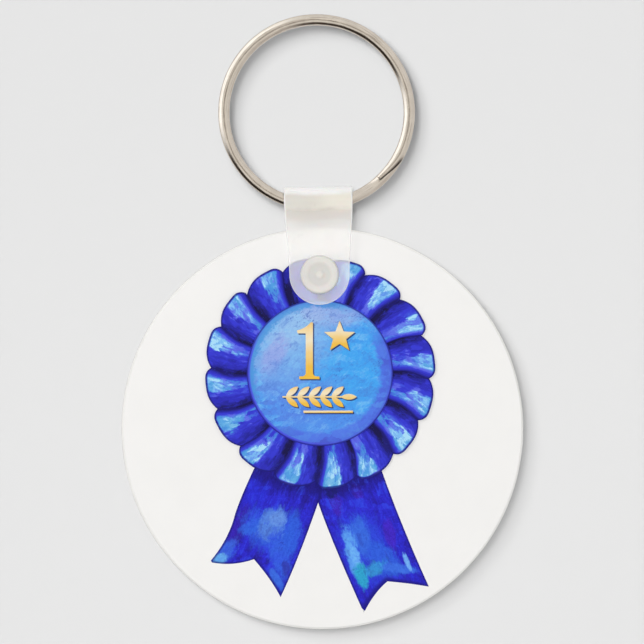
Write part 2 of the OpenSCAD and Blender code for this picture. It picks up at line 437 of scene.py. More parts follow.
def plate(name, curves, cut, depth, material, place=flat, spots=()):
    """A plate with edges rounded by cut: an outline, its holes, and spots inside that its faces use."""
    front, back = depth
    inner = cut * 1.7
    profile = [(inner, front), (cut, front)]
    profile += [(cut * (1 - s), front + cut * c) for s, c in quarter(5)]
    profile += [(inset, front + back - y) for inset, y in reversed(profile)]
    points, rims, faces, flat_points, edges, fronts, backs = [], [], [], [], [], [], []
    for curve in curves:
        rings = []
        for inset, y in profile:
            ring = curve(inset)
            rings.append(list(range(len(points), len(points) + len(ring))))
            points += [place(x, z, y) for x, z in ring]
            rims += [1 - inset / inner] * len(ring)
        for a, b in zip(rings, rings[1:]):
            faces += walls(a, b)
        first = len(flat_points)
        flat_points += curve(inner)
        count = len(rings[0])
        edges += [(first + k, first + (k + 1) % count) for k in range(count)]
        fronts += rings[0]
        backs += rings[-1]
    for x, z in spots:
        flat_points.append((x, z))
        fronts.append(len(points))
        backs.append(len(points) + 1)
        points += [place(x, z, front), place(x, z, back)]
        rims += [0, 0]
    scaled = [Vector(p) / MM for p in flat_points]
    _, _, triangles, sources, _, _ = delaunay_2d_cdt(scaled, edges, [], 1, 1e-5)
    for triangle in triangles:
        ids = [sources[k][0] for k in triangle]
        middle_x = sum(flat_points[k][0] for k in ids) / 3
        middle_z = sum(flat_points[k][1] for k in ids) / 3
        if any(inside(curve(inner), middle_x, middle_z) for curve in curves[1:]):
            continue
        faces += [[fronts[k] for k in ids], [backs[k] for k in reversed(ids)]]
    return build(name, points, faces, material, tags={"rim": rims})


def inside(outline, x, z):
    """Whether a point lies in a closed outline."""
    hit = False
    for (x1, z1), (x2, z2) in zip(outline, outline[1:] + outline[:1]):
        if (z1 > z) != (z2 > z) and x < (x2 - x1) * (z - z1) / (z2 - z1) + x1:
            hit = not hit
    return hit


def drill(piece):
    """Cuts the snap's round hole through a piece."""
    bpy.ops.mesh.primitive_cylinder_add(
        vertices=64, radius=HOLE_R, depth=20 * MM, location=SNAP, rotation=(pi / 2, 0, 0)
    )
    cutter = bpy.context.object
    cut = piece.modifiers.new("hole", "BOOLEAN")
    cut.object = cutter
    cut.solver = "EXACT"
    bpy.context.view_layer.objects.active = piece
    bpy.ops.object.modifier_apply(modifier=cut.name)
    bpy.data.objects.remove(cutter)
    tidy(piece)


def belongs(piece, body, slot, *replaced):
    """Puts a piece on the body it rides on and hides the CAD nodes that it stands for; slot is not used."""
    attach(piece, body)
    if replaced:
        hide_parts(*replaced)


# ---- materials

def nickel():
    """Polished nickel plate: fine drawn lines along the wire, painted darker to stand in for thin dark
    reflected streaks, faint smudges, and painted shade in the gap by its end.
    """
    g = Paint("polished_nickel", Metallic=1)
    u, v, _ = g.split(g.uv())
    lines = g.noise(g.join(g.mul(u, 5), g.mul(v, 26)), 1, 3, 0.6)
    smudge = g.noise(g.place(), 420, 4)
    drawn = g.noise(g.join(g.mul(u, 1.6), g.mul(v, 34)), 1, 2, 0.6)
    worn = g.noise(g.join(g.mul(u, 1.1), v), 1, 2)
    # drawn lines along the wire; their darker colour is a painted reflection of thin dark streaks
    drawn_lines_and_reflections = g.mul(g.ease(drawn, 0.54, 0.62), g.ease(worn, 0.46, 0.58, 0.15, 1))
    g.paint = g.ramp(smudge, (0.3, (214, 206, 195)), (0.7, (228, 220, 209)))
    g.over(g.mul(drawn_lines_and_reflections, 0.4), (150, 138, 124))
    # painted shade: darkens the wire where the gap between the coils lies in shade
    g.over(g.attribute("gap"), (58, 46, 36))
    g.colour(g.paint)
    g.roughness(g.mad(lines, 0.06, g.mad(smudge, 0.08, 0.09)))
    g.bump(lines, 0.5, 0.02 * MM)
    return g.material


def milky_plastic(name, tint, opacity, seed, scatter, gloss, fold_z=None, dish=None):
    """Soft translucent plastic: satin skin, faint clouds; with a denser fold that carries painted shade and
    highlight, or painted shade in a dish, as told.
    """
    g = Paint(
        name, Specular_IOR_Level=gloss, Subsurface_Weight=scatter, Subsurface_Scale=1 * MM, Alpha=opacity
    )
    place = g.first("Mapping", {"Vector": g.place(), "Location": (seed, 0, 0)})
    cloud = g.noise(place, 260)
    grain = g.noise(place, 5200, 2)
    low = tuple(c * 0.95 for c in tint[:3]) + (1,)
    g.paint = g.ramp(cloud, (0.35, low), (0.65, tint))
    if fold_z is not None:
        folded_strap(g, cloud, opacity, fold_z)
    if dish is not None:
        x, _, z = g.split(g.place())
        radius = g.length(g.sub(x, SNAP.x), g.sub(z, SNAP.z))
        # painted shade in the dimple of the cap's dish
        dish_shade = g.ease(radius, dish * 0.8, dish * 1.1, 0.8, 0)
        dish_shade = g.mul(dish_shade, g.ease(radius, dish * 0.2, dish * 0.36))
        g.over(dish_shade, (221, 219, 214))
    g.colour(g.paint)
    g.roughness(g.mad(cloud, 0.16, 0.22))
    g.bump(g.mad(grain, 0.25, cloud), 0.12, 0.05 * MM)
    return g.material


def folded_strap(g, cloud, opacity, fold_z):
    """The strap's colour by height: a painted highlight and a faint painted glow on the crest, painted shade
    in the denser fold and under it, a clearer leg; painted light in its rims.
    """
    rim = g.ease(g.attribute("rim"), 0.25, 0.8)
    x, _, height = g.split(g.place())
    below = g.mad(g.sub(cloud, 0.5), 0.9 * MM, g.sub(fold_z, height))
    # painted shade for the fold: darker to the left, lighter and warmer to the right
    fold_shade = g.mix(g.ease(x, -1.5 * MM, 2.5 * MM), (224, 220, 212), (236, 232, 221))
    # painted shade in a band under the fold
    g.over(g.fall(below, 1.8 * MM, 3.6 * MM), (223, 219, 214))
    g.over(g.fall(below, 0.4 * MM, 2 * MM), fold_shade)
    # painted highlight on the crest and painted light in the rims
    g.over(g.most(rim, g.ease(below, -0.7 * MM, -1.5 * MM)), (254, 253, 252))
    shut = g.most(g.ease(below, 1.8 * MM, 3.4 * MM, 0.55, opacity), g.mul(rim, 0.6))
    shut = g.most(shut, g.ease(below, 0.4 * MM, 2.4 * MM, 0.92, 0))
    # painted light: a faint glow on the crest, though the plastic is no lamp
    painted_crest_glow = g.ease(below, -1.1 * MM, -2.2 * MM, 0, 0.14)
    g.set(Alpha=shut, Emission_Color=(255, 255, 255), Emission_Strength=painted_crest_glow)


def grained(g, grain, dark, light, roughness, spread):
    """Colours the paint from dark to light and sets its roughness by a fine grain."""
    g.colour(g.ramp(grain, (0.3, dark), (0.7, light)))
    g.roughness(g.mad(grain, spread, roughness))


def white_face():
    """Smooth white face sheet with the faintest mottle under its gloss."""
    g = Paint("white_face_sheet", Specular_IOR_Level=0.4, Coat_Weight=0.15, Coat_Roughness=0.12)
    grained(g, g.noise(g.place(), 180, 5), (244, 243, 241), (246, 245, 243), 0.3, 0.08)
    g.bump(g.noise(g.place(), 4200, 2), 0.05, 0.02 * MM)
    return g.material


def white_core():
    """Cut edge of the white sheet, with fine lines round it from the cutter."""
    g = Paint("white_core_edge", Specular_IOR_Level=0.35)
    lines = g.noise(g.stretch(g.place(), (90, 9000, 90)), 1)
    g.colour(g.ramp(lines, (0.3, (238, 237, 234)), (0.75, (248, 247, 244))))
    g.roughness(g.mad(lines, 0.2, 0.38))
    g.bump(lines, 0.25, 0.03 * MM)
    return g.material


def paint_gloss(g, bristles):
    """The painted pieces' colour under their finish: a satin laminate over brush marks."""
    g.colour(g.paint)
    height = g.add(bristles, 0.5)
    g.set(Specular_IOR_Level=0.16)
    g.roughness(g.mad(height, 0.15, 0.38))
    g.bump(height, 0.1, 0.03 * MM)
    return g.material


def pleat_paint():
    """A painted satin pleat: dark where it tucks under, light where it rolls over; U across, V outwards."""
    g = Paint("painted_pleat")
    u, v, _ = g.split(g.uv())
    seed = g.attribute("seed")
    far = g.mul(seed, 40)

    def grown(across, along):
        return g.join(g.mul(u, across), g.mul(v, along), far)

    streaks = g.marks(grown(6, 1), 3, 0.6, 0.4)
    strokes = g.marks(grown(9, 3.6), 3, 0.62, 0.6)
    bristles = g.marks(grown(26, 16), 3, 0.7)
    patches = g.marks(grown(2, 2.4), 2, 0.5, 0.5)
    dabs = g.cells(grown(8.5, 4.5), strokes, bristles)

    u_worn = g.mad(streaks, 0.14, g.mad(seed, 0.11, g.sub(u, 0.055)))
    u_worn = g.mad(dabs, 0.03, g.mad(strokes, 0.08, u_worn))
    v_worn = g.mad(patches, 0.6, g.mad(strokes, 0.4, v))
    v_worn = g.mad(dabs, 0.14, v_worn)

    tone = g.ramp(
        u_worn, (0, 0.15), (0.06, 0.19), (0.18, 0.29), (0.32, 0.37), (0.46, 0.45), (0.54, 0.49),
        (0.88, 0.49), (0.93, 0.42), (0.97, 0.26), (1, 0.14),
    )
    open_from = g.ease(v_worn, 0.1, 0.85, 0.6, 0.51)
    opened = g.ease(g.sub(u_worn, open_from), 0, 0.06)
    light = g.mul(opened, g.fall(u_worn, 0.82, 0.91))
    light = g.mul(light, g.ease(v_worn, 0.05, 0.85, 0.2, 1))
    light = g.mul(light, g.ease(v, 0.93, 0.965, 1, 0.15))
    work = g.ease(light, 0, 0.5, 0.6, 1.3)
    grain = g.mad(bristles, 0.22, g.mad(strokes, 0.4, g.mul(dabs, 0.19)))
    tuck = g.mul(g.fall(u_worn, 0.06, 0.34), g.ease(v_worn, 0.15, 0.75, 1, 0.1))
    root = g.fall(v, 0, 0.1)
    tone = g.mad(light, 0.385, tone)
    tone = g.mad(streaks, 0.3, g.mad(grain, work, tone))
    tone = g.mad(root, -0.05, g.mad(tuck, -0.23, tone))

    g.paint = g.steps(
        tone, (24, 21, 72), (33, 31, 112), (40, 40, 150), (49, 49, 184), (57, 60, 208),
        (66, 84, 218), (80, 116, 226), (98, 150, 234), (126, 188, 242), (170, 221, 249),
    )
    violet = g.mul(g.ease(patches, 0, 0.08), g.band(tone, 0.45, 0.52, 0.72, 0.82))
    g.over(g.mul(violet, 0.55), (108, 112, 236))
    cool = g.ease(g.mad(strokes, 0.8, patches), 0, -0.08)
    teal = g.mul(cool, g.band(tone, 0.5, 0.62, 0.95, 1.2))
    g.over(g.mul(teal, 0.65), (76, 162, 220))
    speck = g.mul(g.ease(bristles, -0.1, -0.15), g.ease(strokes, 0.06, -0.04))
    g.over(g.mul(speck, 0.5), (48, 70, 180))
    outline = g.most(g.ease(u, 0.965, 0.99), g.ease(v, 0.945, 0.975))
    g.over(g.mul(outline, 0.85), (30, 26, 112))
    return paint_gloss(g, bristles)


def dab(g, x, z, ragged, mid_x, mid_z, long, wide, turn, colour, amount=1, soft=0.3):
    """Lays on a blot with a ragged edge: its middle, half lengths, turn in degrees and colour."""
    c, s = cos(radians(turn)), sin(radians(turn))
    dx = g.sub(x, mid_x)
    dz = g.sub(z, mid_z)
    along = g.mad(dx, c / long, g.mul(dz, s / long))
    across = g.mad(dz, c / wide, g.mul(dx, -s / wide))
    worn = g.mad(ragged, 1.3, g.length(along, across))
    g.over(g.ease(worn, 1 - soft, 1 + soft, amount, 0), colour)


def tail_paint(name, seed, lean, dabs):
    """A painted satin tail: deep blue, streaks along it, lighter dabs, dark at the top; UVs are in cm."""
    g = Paint(name)
    place = g.stretch(g.uv(), (10, 10, 10))
    x, z, _ = g.split(place)

    def marks(across, along, detail, twist=0.5):
        a, b, _ = g.split(g.turned(place, -lean))
        return g.marks(g.join(g.mul(a, along), g.mul(b, across), seed), detail, 0.6, twist)

    streaks = marks(0.9, 0.22, 4)
    strokes = marks(1.7, 0.5, 3, 0.8)
    blots = marks(0.7, 0.5, 3)
    mottle = marks(2.6, 2.2, 3, 1.2)
    bristles = marks(5, 2.2, 3)
    cells = g.cells(g.turned(place, -lean, (0.45, 1, 1)), strokes, blots)
    ragged = g.mad(bristles, 0.5, g.mad(blots, 0.5, g.mul(streaks, 0.6)))
    ragged = g.mad(cells, 0.16, g.mad(strokes, 0.6, ragged))
    tone = g.mad(bristles, 0.15, g.mad(streaks, 1.2, 0.52))
    tone = g.mad(cells, 0.3, g.mad(strokes, 0.6, tone))
    worn = g.mad(streaks, 0.7, g.mad(strokes, 0.6, g.mul(cells, 0.25)))

    g.paint = g.steps(
        tone, (38, 30, 144), (42, 36, 172), (45, 41, 194), (48, 48, 212), (47, 62, 222)
    )
    for colour in dabs:
        dab(g, x, z, ragged, *colour)
    reach = g.mad(ragged, 2.5, g.length(g.sub(x, ROSETTE_AT[0]), g.sub(z, ROSETTE_AT[1])))
    under = g.ease(reach, ROSETTE_R / MM - 0.2, ROSETTE_R / MM + 2.4, 0.85, 0)
    g.over(under, (30, 24, 112))
    g.over(g.ease(worn, 0.08, 0.18, 0, 0.3), (54, 80, 226))
    g.over(g.ease(worn, -0.1, -0.2, 0, 0.3), (42, 30, 150))
    g.overlay(0.35, mottle)
    edge = g.ease(g.attribute("rim"), 0.08, 0.3, 0.8, 0)
    g.over(edge, (30, 24, 118))
    return paint_gloss(g, bristles)


def button_paint():
    """The sky blue centre: brushed azure, pale at the upper left, periwinkle shade at the lower right."""
    g = Paint("painted_button")
    x, z, _ = g.split(g.uv())

    def marks(scale, stretch, turn, detail=4, twist=0.5):
        place = g.stretch(g.turned(g.uv(), turn), (scale, scale * stretch, 1))
        return g.marks(place, detail, 0.62, twist)

    soft = marks(1.6, 1.4, 30)
    strokes = marks(4.5, 2.4, -40, 4, 0.8)
    cross = marks(6, 2.2, 35, 4, 0.8)
    bristles = marks(18, 2.4, -42, 3)
    fine = marks(30, 1.5, -35, 3, 1)
    dabs = g.cells(g.turned(g.uv(), -40, (5, 12, 1)), cross, bristles)
    ragged = g.mad(bristles, 0.2, g.mad(strokes, 0.6, g.mul(cross, 0.6)))
    ragged = g.mad(dabs, 0.12, ragged)
    tone = g.mad(dabs, 0.42, g.mad(ragged, 1.1, g.mad(soft, 0.9, 0.5)))

    g.paint = g.steps(
        tone, (84, 120, 220), (80, 136, 230), (78, 150, 236), (74, 162, 240),
        (92, 180, 243),
    )
    for colour in (
        (0.42, 0.1, 0.55, 0.55, 0, (68, 170, 242), 0.75, 0.5),
        (-0.4, 0.45, 0.75, 0.48, 42, (132, 182, 236), 0.85, 0.5),
        (-0.35, 0.62, 0.45, 0.22, 38, (158, 198, 238), 0.7, 0.5),
        (0.16, 0.8, 0.42, 0.15, -8, (158, 176, 228), 0.65, 0.4),
        (-0.62, 0.24, 0.3, 0.13, 62, (154, 166, 230), 0.75, 0.4),
        (-0.5, -0.1, 0.35, 0.25, 10, (112, 160, 232), 0.6, 0.5),
        (-0.32, -0.5, 0.48, 0.26, -25, (92, 136, 230), 0.65, 0.5),
        (-0.02, -0.25, 0.34, 0.12, 22, (104, 140, 226), 0.45, 0.4),
        (0.2, -0.72, 0.55, 0.16, 8, (86, 146, 236), 0.6, 0.4),
    ):
        dab(g, x, z, ragged, *colour)
    grain = g.mad(dabs, 0.26, g.mad(bristles, 0.45, g.mul(strokes, 0.8)))
    g.over(g.ease(grain, -0.03, -0.24, 0, 0.5), (76, 124, 212))
    g.over(g.ease(grain, 0.03, 0.24, 0, 0.45), (138, 196, 244))
    spots = g.most(g.ease(z, 0.45, 0.85), g.ease(soft, -0.05, -0.12))
    dark = g.mul(g.ease(g.mad(strokes, 0.5, fine), -0.1, -0.16), spots)
    g.over(g.mul(dark, 0.6), (58, 94, 190))
    g.overlay(0.22, fine)

    low = g.mad(z, -0.7, g.mul(x, 0.72))
    radius = g.length(x, z)
    worn = g.mad(ragged, 0.22, radius)
    crescent = g.mul(g.ease(worn, 0.8, 0.86), g.ease(g.mad(ragged, 0.4, low), 0.05, 0.4))
    shade = g.steps(tone, (78, 92, 210), (80, 106, 222), (84, 116, 228), (86, 130, 230))
    g.over(g.mul(crescent, 0.9), shade)
    high = g.mul(g.ease(worn, 0.87, 0.92), g.ease(low, -0.25, -0.55))
    g.over(g.mul(high, 0.8), (72, 146, 216))
    left = g.mul(g.ease(x, 0.1, -0.3, 0.35, 0.9), g.ease(z, 0.25, 0.6, 1, 0.2))
    g.over(g.mul(g.ease(radius, 0.945, 0.967), left), (78, 78, 226))
    g.over(g.ease(radius, 0.97, 0.99, 0, 0.9), (44, 42, 150))
    return paint_gloss(g, bristles)


def backing_paint():
    """Dark blue card behind the pleats."""
    g = Paint("backing_navy", Specular_IOR_Level=0.3)
    grained(g, g.noise(g.place(), 900, 4), (20, 18, 84), (30, 28, 112), 0.4, 0.15)
    return g.material


def gold_paint():
    """Gold shaded from pale cream to orange gold down each piece."""
    g = Paint("gold", Metallic=0.25, Specular_IOR_Level=0.6)
    height = g.split(g.node("TexCoord").outputs["Generated"])[2]
    waver = g.noise(g.place(), 700)
    height = g.mad(g.sub(waver, 0.5), 0.16, height)
    shade = g.ramp(
        height,
        (0, (248, 196, 62)), (0.22, (247, 196, 74)), (0.45, (248, 214, 140)),
        (0.68, (250, 236, 205)), (0.85, (252, 226, 176)), (1, (248, 205, 120)),
    )
    g.colour(shade)
    g.roughness(g.mad(waver, 0.12, 0.3))
    g.bump(waver, 0.06, 0.03 * MM)
    return g.material


def gold_shadow():
    """The dark ink of the gold pieces' printed shadows."""
    g = Paint("gold_print_shadow", Specular_IOR_Level=0.2)
    grained(g, g.noise(g.place(), 1500, 2), (40, 66, 120), (52, 82, 140), 0.5, 0.1)
    return g.material


# ---- split ring

def split_ring(material):
    """One wire wound twice: front coil, slanted crossing, rear coil, with domed cut ends."""
    start = CROSS_AT + CROSS / 2
    length = 4 * pi - CROSS
    crossing = 2 * pi - CROSS
    wire_r = RING_R - WIRE_W / 2
    coil_y = RING_BACK - COIL_T / 2 - RING.y
    steps, sides, cap = 480, 28, 5
    ground_off = 0.45 * WIRE_W
    power = 2 / 2.1
    points, uvs, gap_shades = [], [], []

    def rounded_flat(c):
        return math.copysign(abs(c) ** power, c)

    def section(angle, grow, along):
        plane = lerp(-coil_y, coil_y, smooth(angle, crossing, crossing + CROSS))
        ground = ground_off * smooth(angle, CHISEL, 0)
        # painted shade: how strongly the gap between the coils near the ground end is darkened
        gap = smooth(angle, CHISEL, 0.75 * CHISEL)
        a = start + angle
        for k in range(sides):
            s = 2 * pi * k / sides
            across = rounded_flat(cos(s)) * (WIRE_W - ground) / 2 * grow
            depth = rounded_flat(sin(s)) * COIL_T / 2 * grow
            r = wire_r - ground / 2 + across
            points.append(flat(RING.x + r * cos(a), RING.z + r * sin(a), RING.y + plane + depth))
            uvs.append((along * 20, k / sides))
            gap_shades.append(gap * smooth(cos(s), 0.35, 0.75))

    dome = 0.22 * MM / wire_r
    quarters = [pi / 2 * (k + 0.5) / cap for k in range(cap)]
    for q in quarters:
        section(dome * (1 - cos(q)), sin(q) * 0.999, 0)
    for i in range(steps + 1):
        t = i / steps
        section(lerp(dome, length - dome, t), 1, t)
    for q in reversed(quarters):
        section(length - dome * (1 - cos(q)), sin(q) * 0.999, 1)
    rows = steps + 1 + 2 * cap
    faces = grid_faces(rows, sides, wrap_columns=True)
    faces += [tuple(range(sides)), tuple(reversed(range((rows - 1) * sides, rows * sides)))]
    return build("split_ring_wire", points, faces, material, uvs, {"gap": gap_shades})


# ---- strap and snap

def strap_path(length_at):
    """Point and outward direction on the strap's middle line, measured from the top of the fold."""
    side = -1 if length_at < 0 else 1
    s = abs(length_at)
    if s < BEND:
        a = s / BEND_R
        out = Vector((0, side * sin(a), cos(a)))
        return Vector((0, FOLD.y, FOLD.z)) + out * BEND_R, out
    out = Vector((0, side, 0))
    return Vector((0, FOLD.y + side * BEND_R, FOLD.z - (s - BEND))), out


def strap(material):
    """A strip folded over the ring, with soft edges, a round end at each leg and the snap's holes."""
    straight = BEND + FOLD.z - SNAP.z

    def half(s):
        return lerp(STRAP_W / 2, TIP_R, smooth(abs(s) / straight, 0.2, 1))

    def outline(inset):
        stations = [straight * k / 60 for k in range(-60, 61)]
        arc = [pi * k / 40 for k in range(1, 40)]
        tip = TIP_R - inset
        points = [(half(s) - inset, s) for s in stations]
        points += [(tip * cos(a), straight + tip * sin(a)) for a in arc]
        points += [(inset - half(s), s) for s in reversed(stations)]
        points += [(-tip * cos(a), -straight - tip * sin(a)) for a in arc]
        return points

    def place(x, s, y):
        centre, out = strap_path(s)
        return centre + Vector((x, 0, 0)) - out * y

    rows = [BEND * 1.15 * k / 24 for k in range(-24, 25)]
    rows += [side * lerp(BEND * 1.2, straight, k / 9) for k in range(1, 10) for side in (-1, 1)]
    spots = []
    for s in rows:
        for k in range(-5, 6):
            x = half(s) * 0.85 * k / 5
            if math.hypot(x, abs(s) - straight) > HOLE_R * 1.5:
                spots.append((x, s))
    holes = [circle(Vector((0, 0, side * straight)), -HOLE_R, 48) for side in (-1, 1)]
    depth = (-STRAP_T / 2, STRAP_T / 2)
    return plate("strap_strip", [outline] + holes, 0.2 * MM, depth, material, place, spots)


def snap_stud(material):
    """Front cap with a ring-shaped dimple round a small dot, on a straight shank."""
    back = -LEG_OUT - 0.015 * MM
    face_y = CAP_FRONT + 0.05 * MM
    face_r = 0.86 * CAP_R
    edge = CAP_R - face_r
    profile = [(0, face_y)]
    for k in range(1, 25):
        r = face_r * k / 24
        dot = 0.05 * MM * smooth(r / MM, 0.55, 0.25)
        dimple = smooth(r, 0.2 * DISH_R, 0.5 * DISH_R) * smooth(r, 1.1 * DISH_R, 0.8 * DISH_R)
        profile.append((r, face_y - dot + 0.12 * MM * dimple))
    profile += [(face_r + edge * s, face_y + edge * 1.1 * c) for s, c in quarter(8)]
    profile += [
        (CAP_R, back - 0.12 * MM), (CAP_R - 0.05 * MM, back - 0.02 * MM), (CAP_R - 0.2 * MM, back),
        (SHANK_R + 0.12 * MM, back), (SHANK_R, back + 0.08 * MM), (SHANK_R, STUD_TIP - 0.3 * MM),
        (SHANK_R * 0.9, STUD_TIP - 0.08 * MM), (SHANK_R * 0.72, STUD_TIP), (0, STUD_TIP),
    ]
    return lathe("snap_cap_and_shank", profile, SNAP, material, 96, closed=False)


def snap_socket(material):
    """A ring behind the rear leg, with a shallow step round its hole; cuts round its corners."""
    low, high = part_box("snap_socket")
    front, back = low.y, high.y
    outer = half_width("snap_socket")
    step = back - 0.14 * MM
    corners = [
        (HOLE_R, front), (outer, front), (outer, back), (outer * 0.72, back), (outer * 0.66, step),
        (HOLE_R + 0.45 * MM, step), (HOLE_R, back - 0.4 * MM),
    ]
    cuts = [0, 0.05 * MM, 0.32 * MM, 0.06 * MM, 0.06 * MM, 0.08 * MM, 0.1 * MM]
    return lathe("snap_socket_ring", rounded(corners, cuts), SNAP, material, 96)


# ---- fob

def round_layer(name, node, cut, material):
    """One round layer of the fob, with softened edges and the snap's hole."""
    low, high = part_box(node)
    curves = [circle(middle(node), half_width(node), 256), circle(SNAP, -HOLE_R, 48)]
    return plate(name, curves, cut, (low.y, high.y), material)


def backing_card(material):
    """A round card under the pleats, with the snap's hole."""
    low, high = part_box("rosette_backing")
    r = half_width("rosette_backing")
    profile = [(0, low.y), (r, low.y), (r, high.y), (0, high.y)]
    piece = lathe("rosette_backing_card", profile, BUTTON, material, 128, closed=False)
    drill(piece)
    return piece


# ---- rosette

def pleat(index, node, material, chance):
    """One fluted pleat: it rises from under its neighbour and rolls over on its clockwise side."""
    rows, columns = 31, 37
    inner = BUTTON_R - 0.25 * MM
    lean = radians(2.6)
    overhang = radians(chance.uniform(1.6, 2.8))
    wide = chance.uniform(-0.25, 0.15) * MM
    points, uvs = [], []

    def outer(s):
        start = 1.5 * MM * (1 - s / 0.6) ** 2.4 if s < 0.6 else 0
        roll = 1 * MM * ((s - 0.74) / 0.26) ** 2.2 if s > 0.74 else 0
        return ROSETTE_R + min(wide, 0) - start - roll

    def lift(s, t):
        """Height of the flute above the backing, 0 to 1."""
        wave = 0.12 + 0.88 * smooth(s, 0, 0.66) * (1 - 0.25 * smooth(s, 0.78, 1))
        groove = 1 - 0.35 * math.exp(-((s - 0.36) / 0.1) ** 2) * smooth(t, 0.1, 0.5)
        lip = 1 - 0.45 * smooth(t, 0.9, 1)
        root = 0.55 + 0.45 * smooth(t, 0, 0.45)
        return wave * groove * lip * root

    for i in range(rows):
        t = i / (rows - 1)
        for j in range(columns):
            s = j / (columns - 1)
            r = lerp(inner, outer(s), t)
            far = (r - inner) / (ROSETTE_R - inner)
            a = (index + s) * PITCH + lean * (far * far - 0.5)
            a += overhang * smooth(s, 0.35, 1) * smooth(t, 0.3, 1)
            y = lerp(PLEAT_BACK, PLEAT_FRONT, lift(s, t))
            points.append(flat(*polar(BUTTON, r, a + PICTURE_TURN), y))
            uvs.append((s, t))
    faces = grid_faces(rows, columns)
    rim = border(rows, columns)
    foot = len(points)
    for k in rim:
        p = points[k]
        points.append(Vector((p.x, PLEAT_BACK + 0.02 * MM, p.z)))
        uvs.append(uvs[k])
    under = list(range(foot, foot + len(rim)))
    faces += walls(rim, under) + [under]
    piece = build(node + "_satin", points, faces, material, uvs, {"seed": chance.random()})
    if index in (0, len(PLEATS) - 1):
        drill(piece)
    return piece


def centre_button(material):
    """A flat-topped button with a soft sloping rim; its UVs are upright in the picture, 1 at the rim."""
    rim = PLEAT_FRONT
    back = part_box("centre_button")[1].y
    slope = (BUTTON_R - 1 * MM, BUTTON_R - 0.1 * MM)
    profile = [(BUTTON_R * k / 16, BUTTON_FRONT) for k in range(15)]
    for k in range(9):
        t = k / 8
        profile.append((lerp(*slope, t), lerp(BUTTON_FRONT, rim, smooth(t, 0, 1))))
    profile += [(BUTTON_R - 0.02 * MM, rim + 0.05 * MM), (BUTTON_R, rim + 0.14 * MM)]
    profile += [(BUTTON_R, back), (0, back)]
    piece = lathe("centre_button_cap", profile, BUTTON, material, closed=False)
    layer = piece.data.uv_layers.new(name="UVMap")
    c, s = cos(PICTURE_TURN), sin(PICTURE_TURN)
    for loop in piece.data.loops:
        p = piece.data.vertices[loop.vertex_index].co - BUTTON
        layer.data[loop.index].uv = ((p.x * c - p.z * s) / BUTTON_R, (p.z * c + p.x * s) / BUTTON_R)
    return piece


# ---- tails

def along(chain, t):
    """A point on a chain of curves: their ends and, between these, the points that they bend towards."""
    count = len(chain) // 2
    which = min(int(t * count), count - 1)
    a, c, b = (Vector(p) for p in chain[2 * which:2 * which + 3])
    t = t * count - which
    return (1 - t) ** 2 * a + 2 * t * (1 - t) * c + t * t * b


def on_fob(p, y):
    """A point of the picture, in mm from the fob's middle, turned as the picture is, at depth y."""
    c, s = cos(PICTURE_TURN), sin(PICTURE_TURN)
    return Vector((FOB.x + (p.x * c + p.y * s) * MM, y, FOB.z + (p.y * c - p.x * s) * MM))


def tail(node, material, left, right, hem):
    """A ribbon tail between chains of curves in the picture's mm: its left and right sides and its hem."""
    low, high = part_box(node)
    rows, columns = 61, 41
    wave = 0.35
    points, uvs, rims = [], [], []
    top, foot = ((along(left, t), along(right, t)) for t in (0, 1))
    for i in range(rows):
        v = i / (rows - 1)
        for j in range(columns):
            u = j / (columns - 1)
            ruled = lerp(along(left, v), along(right, v), u)
            ends = lerp(lerp(*top, u), along(hem, u), v)
            corners = lerp(lerp(*top, u), lerp(*foot, u), v)
            p = ruled + ends - corners
            edge = min(u, 1 - u, (1 - v) * 1.3) * 8
            body = smooth(edge, 0, 0.8)
            ripple = 0.5 + 0.5 * sin(u * 7.5 + v * 2.2)
            points.append(on_fob(p, lerp(high.y, low.y, body * (1 - wave * ripple * smooth(v, 0.1, 0.5)))))
            uvs.append((p.x / 10, p.y / 10))
            rims.append(min(edge, 1))
    faces = grid_faces(rows, columns)
    shift = len(points)
    points += [Vector((p.x, high.y + 0.01 * MM, p.z)) for p in points]
    uvs += uvs
    rims += rims
    faces += [tuple(reversed([k + shift for k in quad])) for quad in faces[:]]
    rim = border(rows, columns)
    faces += walls(rim, [k + shift for k in rim])
    return build(node + "_satin", points, faces, material, uvs, {"rim": rims})


# ---- emblem

def from_node(name, node, material, soften):
    """A piece with a CAD node's own outline and softened edges."""
    mesh = nodes[node].data.copy()
    mesh.name = name
    mesh.materials.clear()
    mesh.materials.append(material)
    piece = placed(name, mesh)
    work = bmesh.new()
    work.from_mesh(mesh)
    bmesh.ops.remove_doubles(work, verts=work.verts, dist=DOUBLED)
    bmesh.ops.dissolve_limit(work, angle_limit=radians(1), verts=work.verts, edges=work.edges)
    work.to_mesh(mesh)
    work.free()
    if soften:
        bevel = piece.modifiers.new("soft_edge", "BEVEL")
        bevel.width = soften
        bevel.segments = 3
        bevel.limit_method = "ANGLE"
        bevel.angle_limit = radians(50)
        bevel.use_clamp_overlap = True
    return piece


def print_shadow(node, material):
    """The dark drop shadow printed below and to the right of a gold piece, almost without thickness."""
    right, down, thick = 0.16 * MM, 0.17 * MM, 0.03 * MM
    piece = from_node(node + "_shade", node, material, 0)
    low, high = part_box(node)
    for v in piece.data.vertices:
        depth = (high.y - v.co.y) / (high.y - low.y)
        v.co = Vector((v.co.x + right, high.y - thick * depth, v.co.z - down))
    return piece


# ---- stage, lights, camera

BACKGROUND = srgb(231, 231, 231)
FILL_LIGHT = 0.27
VIEW_W = 91.65 * MM
VIEW_RIGHT = 0.22 * MM
VIEW_UP = -0.05 * MM
LENS = 500
SENSOR = 36
CAMERA_FAR = VIEW_W * LENS / SENSOR


